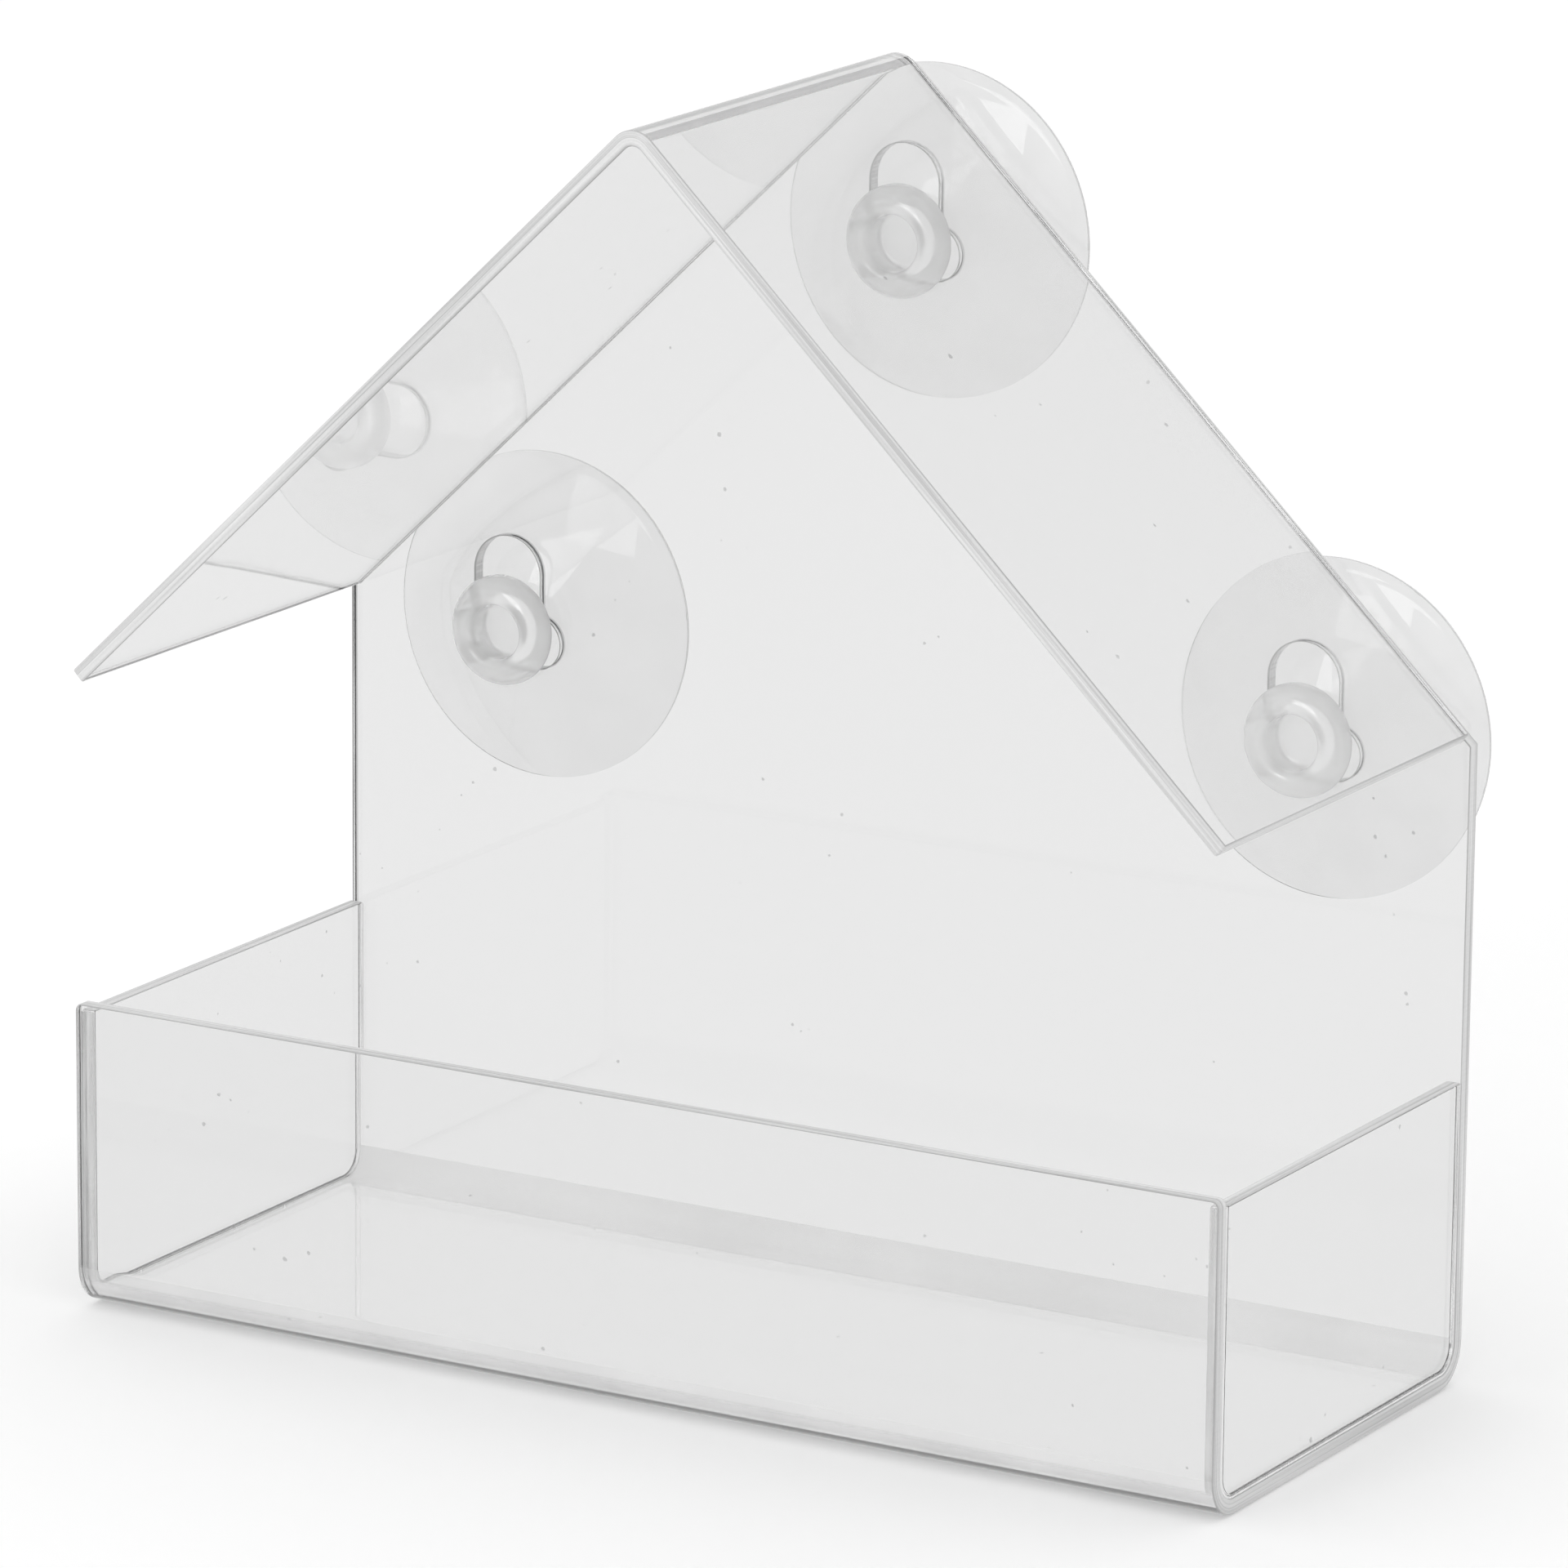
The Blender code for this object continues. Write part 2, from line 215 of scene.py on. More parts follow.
def freeze(piece):
    """Apply a piece's modifiers, so that its final mesh stands alone."""
    evaluated = piece.evaluated_get(bpy.context.evaluated_depsgraph_get())
    made = bpy.data.meshes.new_from_object(evaluated)
    if not made.polygons:
        raise RuntimeError(f"{piece.name} has no faces left")
    piece.modifiers.clear()
    piece.data = made


def polish(piece, width, finish=EDGE_FINISH):
    """Round the cut edges of a sheet, and keep its flat faces flat in the light."""
    bevel = piece.modifiers.new("flame polish", "BEVEL")
    bevel.width = width
    bevel.segments = POLISH_STEPS
    bevel.limit_method = "ANGLE"
    bevel.angle_limit = CUT_ANGLE
    bevel.profile = 0.5
    bevel.material = finish
    weighted = piece.modifiers.new("flat faces", "WEIGHTED_NORMAL")
    weighted.weight = 100
    weighted.keep_sharp = False


def mark_sheet(piece, depth, in_bend):
    """Keep how deep each vertex lies in its sheet, from outer face 0 to inner face 1, and haze its bends."""
    marks = piece.data.attributes.new("depth", "FLOAT", "POINT")
    for vert in piece.data.vertices:
        marks.data[vert.index].value = depth(vert.co)
    for face in piece.data.polygons:
        if face.material_index == 0 and depth(face.center) < OUTER_HALF and in_bend(face.center):
            face.material_index = BEND_FINISH


def fit(piece, body, node):
    """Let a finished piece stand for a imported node."""
    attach(piece, body)
    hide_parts(node)


# Settings

class FeederSheet(bpy.types.PropertyGroup):
    bend_radius: bpy.props.FloatProperty(
        name="Bend radius", description="Inside radius of the bends at the floor",
        default=0.0032, min=0.001, max=0.01, unit="LENGTH")
    ridge_radius: bpy.props.FloatProperty(
        name="Ridge radius", description="Inside radius of the bend at the ridge",
        default=0.0015, min=0.0005, max=0.006, unit="LENGTH")
    roof_slope: bpy.props.FloatProperty(
        name="Roof slope", description="Slope of the roof against the floor",
        default=radians(43.8), min=radians(20), max=radians(60), subtype="ANGLE")
    wall_drop: bpy.props.FloatProperty(
        name="Wall drop", description="Front wall's top edge to the side walls' top edges",
        default=0.001, min=0, max=0.005, unit="LENGTH")
    corner_radius: bpy.props.FloatProperty(
        name="Corner radius", description="Rounding of the front wall's upper corners",
        default=0.0009, min=0.0003, max=0.005, unit="LENGTH")
    gable_setback: bpy.props.FloatProperty(
        name="Gable setback", description="How far the gable's edges lie below the roof's outer face",
        default=0.001, min=0, max=0.0018, unit="LENGTH")
    edge_round: bpy.props.FloatProperty(
        name="Edge rounding", description="Rounding that flame polishing leaves along a cut edge",
        default=0.00025, min=0.0001, max=0.0006, unit="LENGTH")
    bend_steps: bpy.props.IntProperty(
        name="Bend steps", description="Faces along each bend", default=24, min=6, max=48)
    colour: bpy.props.FloatVectorProperty(
        name="Sheet colour", description="Tint of the clear sheet",
        subtype="COLOR", size=4, min=0, max=1, default=linear("FCFCFC"))
    edge_colour: bpy.props.FloatVectorProperty(
        name="Edge colour", description="Milky light of the cut edges",
        subtype="COLOR", size=4, min=0, max=1, default=linear("F6F6F6"))
    bend_colour: bpy.props.FloatVectorProperty(
        name="Bend colour", description="Milky haze of the bends",
        subtype="COLOR", size=4, min=0, max=1, default=linear("FAFAFA"))
    cement_colour: bpy.props.FloatVectorProperty(
        name="Cement colour", description="Milky light of the cement lines",
        subtype="COLOR", size=4, min=0, max=1, default=linear(WHITE))


class FeederCup(bpy.types.PropertyGroup):
    sides: bpy.props.IntProperty(
        name="Sides", description="Faces round a cup", default=144, min=32, max=256)
    rim_flat: bpy.props.FloatProperty(
        name="Rim flat", description="Width of the flat sealing rim",
        default=0.001, min=0.0003, max=0.003, unit="LENGTH")
    rim_thickness: bpy.props.FloatProperty(
        name="Rim thickness", description="Thickness of the cup at its edge",
        default=0.0005, min=0.0002, max=0.002, unit="LENGTH")
    dome_depth: bpy.props.FloatProperty(
        name="Hollow", description="Depth of the hollow that is pressed on the pane",
        default=0.0042, min=0.001, max=0.006, unit="LENGTH")
    skirt_crown: bpy.props.FloatProperty(
        name="Crown", description="How far the disc's front bulges between collar and rim",
        default=0.00036, min=0.0001, max=0.002, unit="LENGTH")
    neck_diameter: bpy.props.FloatProperty(
        name="Neck", description="Diameter of the neck that sits in the slot",
        default=0.0082, min=0.004, max=0.012, unit="LENGTH")
    head_diameter: bpy.props.FloatProperty(
        name="Head", description="Diameter of the ringed head",
        default=0.0134, min=0.008, max=0.016, unit="LENGTH")
    bore_depth: bpy.props.FloatProperty(
        name="Bore depth", description="Depth of the blind hole in the head",
        default=0.0034, min=0.001, max=0.0045, unit="LENGTH")
    colour: bpy.props.FloatVectorProperty(
        name="Vinyl colour", description="Tint of the soft clear vinyl",
        subtype="COLOR", size=4, min=0, max=1, default=linear("FDFDFD"))
    head_colour: bpy.props.FloatVectorProperty(
        name="Head colour", description="Haze of the thick vinyl in the head",
        subtype="COLOR", size=4, min=0, max=1, default=linear(WHITE))


class FeederStage(bpy.types.PropertyGroup):
    paper: bpy.props.FloatVectorProperty(
        name="Paper", description="Colour of the floor in its own light",
        subtype="COLOR", size=4, min=0, max=1, default=linear("E8E8E8"))
    lamp_power: bpy.props.FloatProperty(
        name="Softbox power", description="Power of the large softbox",
        default=3.05, min=0, max=100, unit="POWER")
    sky: bpy.props.FloatProperty(
        name="Room light", description="Strength of the soft light of the room", default=1.1, min=0, max=4)


# Materials

def new_finish(name):
    """Start a material, and give its node tree and the place of each point in its piece's own mesh."""
    material = bpy.data.materials.new(name)
    material.use_nodes = True
    tree = material.node_tree
    return material, tree, add_node(tree, "ShaderNodeTexCoord").outputs["Object"]


def shade(tree, ior, colour, roughness, bump):
    """Link a finish's colour, roughness and bump to its shader, and return the shader's inputs."""
    inputs = tree.nodes["Principled BSDF"].inputs
    inputs["IOR"].default_value = ior
    tree.links.new(colour, inputs["Base Color"])
    tree.links.new(roughness.outputs["Result"], inputs["Roughness"])
    tree.links.new(bump.outputs["Normal"], inputs["Normal"])
    return inputs


def cast_acrylic(colour):
    """Clear cast acrylic sheet: nearly colourless, very smooth, slow waves in its gloss, a little dust."""
    name = "clear cast acrylic"
    if name in bpy.data.materials:
        return bpy.data.materials[name]
    material, tree, place = new_finish(name)
    # Slow waves of cast sheet, about 30 mm from crest to crest
    wave = add_node(tree, "ShaderNodeTexNoise", {"Vector": place, "Scale": 1 / 0.03, "Detail": 1.0})
    bump = add_node(tree, "ShaderNodeBump", {"Height": wave.outputs["Fac"], "Distance": 0.00003,
                                             "Strength": 1.0})
    # Wiped surface, in patches of about 12 mm
    wiped = add_node(tree, "ShaderNodeTexNoise", {"Vector": place, "Scale": 1 / 0.012, "Detail": 4.0})
    rough = add_node(tree, "ShaderNodeMapRange", {"Value": wiped.outputs["Fac"], "From Min": 0.35,
                                                  "From Max": 0.75, "To Min": 0.006, "To Max": 0.03})
    # Specks of dust of about 0.3 mm with frayed outlines, about 4 mm apart at the nearest
    frayed = add_node(tree, "ShaderNodeTexNoise", {"Vector": place, "Scale": 1 / 0.0004, "Detail": 1.0})
    pushed = add_node(tree, "ShaderNodeVectorMath", {0: frayed.outputs["Color"], 1: [0.00025] * 3, 2: place},
                      operation="MULTIPLY_ADD")
    specks = add_node(tree, "ShaderNodeTexVoronoi", {"Vector": pushed.outputs[0], "Scale": 1 / 0.0042})
    # Dust gathers in patches of about 15 mm, and between them the specks shrink to nothing
    patches = add_node(tree, "ShaderNodeTexNoise", {"Vector": place, "Scale": 1 / 0.015, "Detail": 1.0})
    clean = add_node(tree, "ShaderNodeMath", {0: patches.outputs["Fac"], 1: 0.3,
                                              2: specks.outputs["Distance"]}, operation="MULTIPLY_ADD")
    dusty = add_node(tree, "ShaderNodeMapRange", {"Value": clean.outputs[0], "From Min": 0.15,
                                                  "From Max": 0.175, "To Min": 0.0, "To Max": 1.0})
    tint = add_node(tree, "ShaderNodeValToRGB", {"Fac": dusty.outputs["Result"]},
                    stops=((0.0, "B8B8B8"), (1.0, colour)))
    inputs = shade(tree, ACRYLIC_IOR, tint.outputs["Color"], rough, bump)
    inputs["Transmission Weight"].default_value = 0.97
    return material


def clear_from_within(tree):
    """Let a cut edge glow milky in the open, and show clear to light that comes to it inside the sheet."""
    inside = add_node(tree, "ShaderNodeNewGeometry").outputs["Backfacing"]
    clear = add_node(tree, "ShaderNodeMapRange", {"Value": inside, "To Min": 0.05, "To Max": 0.95})
    tree.links.new(clear.outputs["Result"], tree.nodes["Principled BSDF"].inputs["Transmission Weight"])


def acrylic_edge(name, colour, mark_colour, tones, lines_across):
    """Cut edge of the sheet, smooth and lit from within, with lines along it that differ slowly in tone.

    It takes the colour of the marks that a cutter leaves across it, its two darker tones and its lines.
    """
    if name in bpy.data.materials:
        return bpy.data.materials[name]
    material, tree, place = new_finish(name)
    depth = add_node(tree, "ShaderNodeAttribute", attribute_name="depth").outputs["Fac"]
    # Tones that change over about 35 mm along an edge, and five times as fast across it
    layer = add_node(tree, "ShaderNodeMath", {0: depth, 1: 5 * 0.035}, operation="MULTIPLY")
    slow = add_node(tree, "ShaderNodeTexNoise", {"Vector": place, "W": layer.outputs[0], "Scale": 1 / 0.035,
                                                 "Detail": 1.0}, noise_dimensions="4D")
    tone = add_node(tree, "ShaderNodeValToRGB", {"Fac": slow.outputs["Fac"]},
                    stops=((0.3, tones[0]), (0.5, tones[1]), (0.68, colour)))
    lines = add_node(tree, "ShaderNodeValToRGB", {"Fac": depth}, stops=lines_across)
    # Cutter marks 0.3 mm apart, which run through the sheet's thickness
    across = add_node(tree, "ShaderNodeVectorMath", {0: place, 1: (1 / 0.0003, 0, 1 / 0.0003)},
                      operation="MULTIPLY")
    marks = add_node(tree, "ShaderNodeTexNoise", {"Vector": across.outputs[0], "Scale": 1.0, "Detail": 0.0})
    ladder = add_node(tree, "ShaderNodeValToRGB", {"Fac": marks.outputs["Fac"]},
                      stops=((0.4, mark_colour), (0.55, WHITE)))
    lined = add_node(tree, "ShaderNodeVectorMath", {0: tone.outputs["Color"], 1: lines.outputs["Color"]},
                     operation="MULTIPLY")
    marked = add_node(tree, "ShaderNodeVectorMath", {0: lined.outputs[0], 1: ladder.outputs["Color"]},
                      operation="MULTIPLY")
    rough = add_node(tree, "ShaderNodeMapRange", {"Value": slow.outputs["Fac"], "From Min": 0.3,
                                                  "From Max": 0.7, "To Min": 0.12, "To Max": 0.04})
    bump = add_node(tree, "ShaderNodeBump", {"Height": slow.outputs["Fac"], "Distance": 0.0001,
                                             "Strength": 1.0})
    shade(tree, ACRYLIC_IOR, marked.outputs[0], rough, bump)
    clear_from_within(tree)
    return material


def heated_bend(name, colour, clearness):
    """Acrylic softened over a hot wire and bent: its skin turns a little milky, unevenly along the bend."""
    if name in bpy.data.materials:
        return bpy.data.materials[name]
    material, tree, place = new_finish(name)
    # Haze in patches of about 20 mm
    haze = add_node(tree, "ShaderNodeTexNoise", {"Vector": place, "Scale": 1 / 0.02, "Detail": 2.0})
    tone = add_node(tree, "ShaderNodeValToRGB", {"Fac": haze.outputs["Fac"]},
                    stops=((0.35, "EEEEEE"), (0.65, colour)))
    rough = add_node(tree, "ShaderNodeMapRange", {"Value": haze.outputs["Fac"], "From Min": 0.3,
                                                  "From Max": 0.7, "To Min": 0.16, "To Max": 0.07})
    bump = add_node(tree, "ShaderNodeBump", {"Height": haze.outputs["Fac"], "Distance": 0.00006,
                                             "Strength": 1.0})
    inputs = shade(tree, ACRYLIC_IOR, tone.outputs["Color"], rough, bump)
    inputs["Transmission Weight"].default_value = clearness
    return material


def cement_line(colour):
    """Joint made with solvent cement: its film sets milky and silvery, in upright streaks with bubbles."""
    name = "solvent-cemented joint"
    if name in bpy.data.materials:
        return bpy.data.materials[name]
    material, tree, place = new_finish(name)
    # Streaks about 0.5 mm wide and 12 mm tall
    drawn = add_node(tree, "ShaderNodeVectorMath", {0: place, 1: (1 / 0.0005, 1 / 0.0005, 1 / 0.012)},
                     operation="MULTIPLY")
    streaks = add_node(tree, "ShaderNodeTexNoise", {"Vector": drawn.outputs[0], "Scale": 1.0, "Detail": 1.0})
    tone = add_node(tree, "ShaderNodeValToRGB", {"Fac": streaks.outputs["Fac"]},
                    stops=((0.33, "F0F0F0"), (0.62, colour)))
    # Bubbles about 0.4 mm across, and about 1 mm apart
    bubbles = add_node(tree, "ShaderNodeTexVoronoi", {"Vector": place, "Scale": 1 / 0.0011})
    spots = add_node(tree, "ShaderNodeValToRGB", {"Fac": bubbles.outputs["Distance"]},
                     stops=((0.1, WHITE), (0.16, "F2F2F2"), (0.22, WHITE)))
    spotted = add_node(tree, "ShaderNodeVectorMath", {0: tone.outputs["Color"], 1: spots.outputs["Color"]},
                       operation="MULTIPLY")
    rough = add_node(tree, "ShaderNodeMapRange", {"Value": streaks.outputs["Fac"], "To Min": 0.35,
                                                  "To Max": 0.1})
    bump = add_node(tree, "ShaderNodeBump", {"Height": streaks.outputs["Fac"], "Distance": 0.00005,
                                             "Strength": 1.0})
    inputs = shade(tree, ACRYLIC_IOR, spotted.outputs[0], rough, bump)
    # Air caught in the film gives back light as a silvered face does
    inputs["Metallic"].default_value = 0.6
    clear_from_within(tree)
    return material


def soft_vinyl(name, colour, ior, clearness, smooth, matt, gloss, gloss_roughness):
    """Soft clear vinyl, injection-moulded: glossy skin, a little uneven, and hazy where it is thick.

    Where its body bends light less than real vinyl does, light isn't caught in it, and the coat gives the
    full gloss. It takes the body's index of refraction, its clearness and its least and greatest roughness,
    and then the index and roughness of the glossy coat.
    """
    material, tree, place = new_finish(name)
    # Uneven skin, in waves of about 6 mm
    skin = add_node(tree, "ShaderNodeTexNoise", {"Vector": place, "Scale": 1 / 0.006, "Detail": 1.0})
    bump = add_node(tree, "ShaderNodeBump", {"Height": skin.outputs["Fac"], "Distance": 0.00001,
                                             "Strength": 1.0})
    rough = add_node(tree, "ShaderNodeMapRange", {"Value": skin.outputs["Fac"], "From Min": 0.3,
                                                  "From Max": 0.7, "To Min": matt, "To Max": smooth})
    tone = add_node(tree, "ShaderNodeValToRGB", {"Fac": skin.outputs["Fac"]},
                    stops=((0.3, [0.97 * share for share in colour[:3]] + [1.0]), (0.7, colour)))
    inputs = shade(tree, ior, tone.outputs["Color"], rough, bump)
    inputs["Transmission Weight"].default_value = clearness
    inputs["Coat Weight"].default_value = 1.0
    inputs["Coat IOR"].default_value = gloss
    inputs["Coat Roughness"].default_value = gloss_roughness
    return material


def studio_paper(colour):
    """Matt paper of the floor: white where the camera sees it, and pale in gloss and through clear sheet."""
    material = bpy.data.materials.new("matt studio paper")
    material.use_nodes = True
    tree = material.node_tree
    tree.nodes.remove(tree.nodes["Principled BSDF"])
    rays = add_node(tree, "ShaderNodeLightPath").outputs
    matt = add_node(tree, "ShaderNodeBsdfDiffuse", {"Color": colour})
    glow = add_node(tree, "ShaderNodeEmission", {"Color": linear(WHITE), "Strength": FLOOR_LIFT})
    lifted = add_node(tree, "ShaderNodeAddShader", {0: matt.outputs[0], 1: glow.outputs[0]})
    seen = add_node(tree, "ShaderNodeEmission", {"Color": linear(FLOOR_SEEN), "Strength": 1.0})
    through = add_node(tree, "ShaderNodeMath", {0: rays["Is Glossy Ray"], 1: rays["Is Transmission Ray"]},
                       operation="MAXIMUM")
    direct = add_node(tree, "ShaderNodeMixShader", {0: rays["Is Camera Ray"], 1: matt.outputs[0],
                                                    2: lifted.outputs[0]})
    mixed = add_node(tree, "ShaderNodeMixShader", {0: through.outputs[0], 1: direct.outputs[0],
                                                   2: seen.outputs[0]})
    tree.links.new(mixed.outputs[0], tree.nodes["Material Output"].inputs["Surface"])
    return material


def studio_room(strength):
    """Soft light of the room: white behind the feeder, and darker with height in gloss and clear sheet."""
    world = bpy.data.worlds.new("studio room")
    world.use_nodes = True
    tree = world.node_tree
    tree.nodes.remove(tree.nodes["Background"])
    rays = add_node(tree, "ShaderNodeLightPath").outputs
    way = add_node(tree, "ShaderNodeSeparateXYZ",
                   {"Vector": add_node(tree, "ShaderNodeTexCoord").outputs["Generated"]})
    ramp = add_node(tree, "ShaderNodeValToRGB", {"Fac": way.outputs["Z"]}, stops=ROOM_SEEN)
    soft = add_node(tree, "ShaderNodeValToRGB", {"Fac": way.outputs["Z"]}, stops=ROOM_LIGHT)
    clear = add_node(tree, "ShaderNodeMath", {0: rays["Is Glossy Ray"], 1: rays["Is Transmission Ray"]},
                     operation="MAXIMUM")
    # A matt face behind clear sheet is lit by the room as any other is
    through = add_node(tree, "ShaderNodeMath", {0: clear.outputs[0], 1: rays["Diffuse Depth"]},
                       operation="SUBTRACT", use_clamp=True)
    seen = add_node(tree, "ShaderNodeBackground", {"Color": ramp.outputs["Color"], "Strength": 1.0})
    room = add_node(tree, "ShaderNodeBackground", {"Color": soft.outputs["Color"], "Strength": strength})
    white = add_node(tree, "ShaderNodeBackground", {"Color": linear(WHITE), "Strength": 1.0})
    behind = add_node(tree, "ShaderNodeMixShader", {0: through.outputs[0], 1: room.outputs[0],
                                                    2: seen.outputs[0]})
    mixed = add_node(tree, "ShaderNodeMixShader", {0: rays["Is Camera Ray"], 1: behind.outputs[0],
                                                   2: white.outputs[0]})
    tree.links.new(mixed.outputs[0], tree.nodes["World Output"].inputs["Surface"])
    return world


# Pieces

def bent_sheet(points, bends, sweep, steps):
    """A sheet's outer face: a line of a few vertices swept along a vector, with its bends rounded.

    The bends give, for each inner vertex of the line, the length that rounding takes from both its sides.
    """
    bm = bmesh.new()
    last = bm.verts.new(points[0])
    for point in points[1:]:
        last = line_to(bm, last, point)
    made = bmesh.ops.extrude_edge_only(bm, edges=list(bm.edges))["geom"]
    bmesh.ops.translate(bm, verts=[v for v in made if isinstance(v, bmesh.types.BMVert)], vec=sweep)
    for corner, offset in bends:
        along = sweep.normalized()
        folds = [e for e in bm.edges if all((v.co - corner).cross(along).length < NEAR for v in e.verts)]
        round_edges(bm, folds, offset, steps)
    return bm


def slot_cutter(name, axis, cup, sheet):
    """What a cup's slot cuts away: an upright slot for the neck over a wide entry slot for the head."""
    neck, head = cup.neck_diameter / 2, cup.head_diameter / 2
    half = neck + SLOT_CLEARANCE
    top = CUP_TRAVEL + neck + STOP_GAP - half
    end = ENTRY_HEIGHT / 2
    middle = end - neck - STOP_GAP
    reach = head + ENTRY_CLEARANCE - end
    meet = pi / 2 - asin((half - reach) / end)
    start = axis - BACK * (SHEET + MILLIMETRE)
    bm = bmesh.new()
    first = bm.verts.new(start + ACROSS * half + UP * top)
    last = arc_about(bm, first, start + UP * top, -BACK, pi, SLOT_TOP_STEPS)
    last = line_to(bm, last, start + Vector((-reach - end * cos(meet), 0, middle + end * sin(meet))))
    last = arc_about(bm, last, start + Vector((-reach, 0, middle)), -BACK, pi / 2 + meet, SLOT_FOOT_STEPS)
    last = line_to(bm, last, start + Vector((reach, 0, middle - end)))
    last = arc_about(bm, last, start + Vector((reach, 0, middle)), -BACK, pi / 2 + meet, SLOT_FOOT_STEPS)
    face = close_outline(bm, last, first)
    extrude_along(bm, [face], BACK * (SHEET + 2 * MILLIMETRE))
    bmesh.ops.recalc_face_normals(bm, faces=bm.faces)
    for face in bm.faces:
        face.material_index = SLOT_FINISH
    return as_object(name, bm, *sheet_finishes(sheet))


def sheet_finishes(sheet, haze="faintly hazed in bending", clearness=0.8):
    """The finishes of a sheet's faces, its cut edges, its bends and its slots."""
    return (cast_acrylic(sheet.colour),
            acrylic_edge("acrylic edge, flame-polished", sheet.edge_colour, "FCFCFC", EDGE_TONES, EDGE_LINES),
            heated_bend("acrylic, " + haze, sheet.bend_colour, clearness),
            acrylic_edge("acrylic slot edge, routed", linear(WHITE), "EEEEEE", SLOT_TONES, SLOT_LINES))


def thicken(piece, thickness):
    """Give a sheet's outer face its thickness, towards the inside."""
    thick = piece.modifiers.new("sheet", "SOLIDIFY")
    thick.material_offset_rim = EDGE_FINISH
    thick.thickness = thickness
    thick.offset = -1
    thick.use_even_offset = True


def gabled_sheet(name, sheet, outer, start, end, *materials):
    """The outer face of a sheet bent at the ridge, between two places along Y, with its outer bend radius."""
    slope = sheet.roof_slope
    centre = ROOF_HIGH.z - SHEET - sheet.ridge_radius
    reach = ROOF_HIGH.x - (SHEET + sheet.ridge_radius - outer) * sin(slope)
    apex = Vector((0, start, centre + outer / cos(slope)))
    eaves = [apex + Vector((side * reach, 0, -reach * tan(slope))) for side in (-1, 1)]
    bm = bent_sheet([eaves[0], apex, eaves[1]], [(apex, outer * tan(slope))], BACK * (end - start),
                    2 * sheet.bend_steps)
    bmesh.ops.recalc_face_normals(bm, faces=bm.faces)
    slopes = max(bm.faces, key=lambda f: f.calc_area())
    if slopes.normal.z < 0:
        bmesh.ops.reverse_faces(bm, faces=bm.faces)
    return as_object(name, bm, *materials)


def cup_axis(node):
    """Where a cup's axis passes through the rear face of the back panel."""
    low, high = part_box(node)
    return Vector(((low.x + high.x) / 2, REAR_FACE, (low.z + high.z) / 2))


def cut_above(bm, point, normal):
    """Cut off what lies beyond a plane."""
    geom = list(bm.verts) + list(bm.edges) + list(bm.faces)
    bmesh.ops.bisect_plane(bm, geom=geom, plane_co=point, plane_no=normal, clear_outer=True)


def cup_outline(cup, radius, head_front, seal_plane):
    """Half a cup's section beside its axis, which runs along Y from the rear face of the back panel."""
    head_rear = -SHEET - CEMENT_GAP
    neck, head = cup.neck_diameter / 2, cup.head_diameter / 2
    bore = neck - BORE_WALL
    front_round = head - bore - MOUTH_RADIUS
    rim_front = seal_plane - cup.rim_thickness
    collar = neck + COLLAR_WIDTH
    chord = hypot(rim_front - CEMENT_GAP, radius - collar)
    crown = (chord * chord / 4 + cup.skirt_crown ** 2) / (2 * cup.skirt_crown)
    half_turn = asin(chord / 2 / crown)
    lean = atan2(rim_front - CEMENT_GAP, radius - collar) - half_turn
    bm = bmesh.new()
    # The blind hole, from the axis to its mouth
    bore_floor = head_front + cup.bore_depth
    first = bm.verts.new((0, bore_floor, 0))
    last = line_to(bm, first, (bore - BORE_FLOOR_RADIUS, bore_floor, 0))
    centre = (bore - BORE_FLOOR_RADIUS, bore_floor - BORE_FLOOR_RADIUS, 0)
    last = arc_about(bm, last, centre, -UP, pi / 2, BORE_STEPS)
    last = line_to(bm, last, (bore, head_front + MOUTH_RADIUS, 0))
    centre = (bore + MOUTH_RADIUS, head_front + MOUTH_RADIUS, 0)
    last = arc_about(bm, last, centre, UP, pi / 2, MOUTH_STEPS)
    # The ringed head and the neck
    centre = (head - front_round, head_front + front_round, 0)
    last = arc_about(bm, last, centre, UP, pi / 2, HEAD_STEPS)
    last = line_to(bm, last, (head, head_rear - HEAD_REAR_RADIUS, 0))
    centre = (head - HEAD_REAR_RADIUS, head_rear - HEAD_REAR_RADIUS, 0)
    last = arc_about(bm, last, centre, UP, pi / 2, REAR_STEPS)
    last = line_to(bm, last, (neck + NECK_RADIUS, head_rear, 0))
    centre = (neck + NECK_RADIUS, head_rear + NECK_RADIUS, 0)
    last = arc_about(bm, last, centre, -UP, pi / 2, NECK_STEPS)
    last = line_to(bm, last, (neck, CEMENT_GAP, 0))
    # The collar, the crowned skirt and the rim
    fillet = COLLAR_RADIUS * tan(lean / 2)
    last = line_to(bm, last, (collar - fillet, CEMENT_GAP, 0))
    centre = (collar - fillet, CEMENT_GAP + COLLAR_RADIUS, 0)
    last = arc_about(bm, last, centre, UP, lean, NECK_STEPS)
    centre = (collar - crown * sin(lean), CEMENT_GAP + crown * cos(lean), 0)
    last = arc_about(bm, last, centre, UP, 2 * half_turn - fillet / crown, SKIRT_STEPS)
    last = line_to(bm, last, (radius, seal_plane, 0))
    seal = radius - cup.rim_flat
    last = line_to(bm, last, (seal, seal_plane, 0))
    # The hollow, back to the axis
    dome = (seal * seal + cup.dome_depth ** 2) / (2 * cup.dome_depth)
    centre = (0, seal_plane - cup.dome_depth + dome, 0)
    arc_about(bm, last, centre, -UP, asin(seal / dome), SKIRT_STEPS)
    return bm


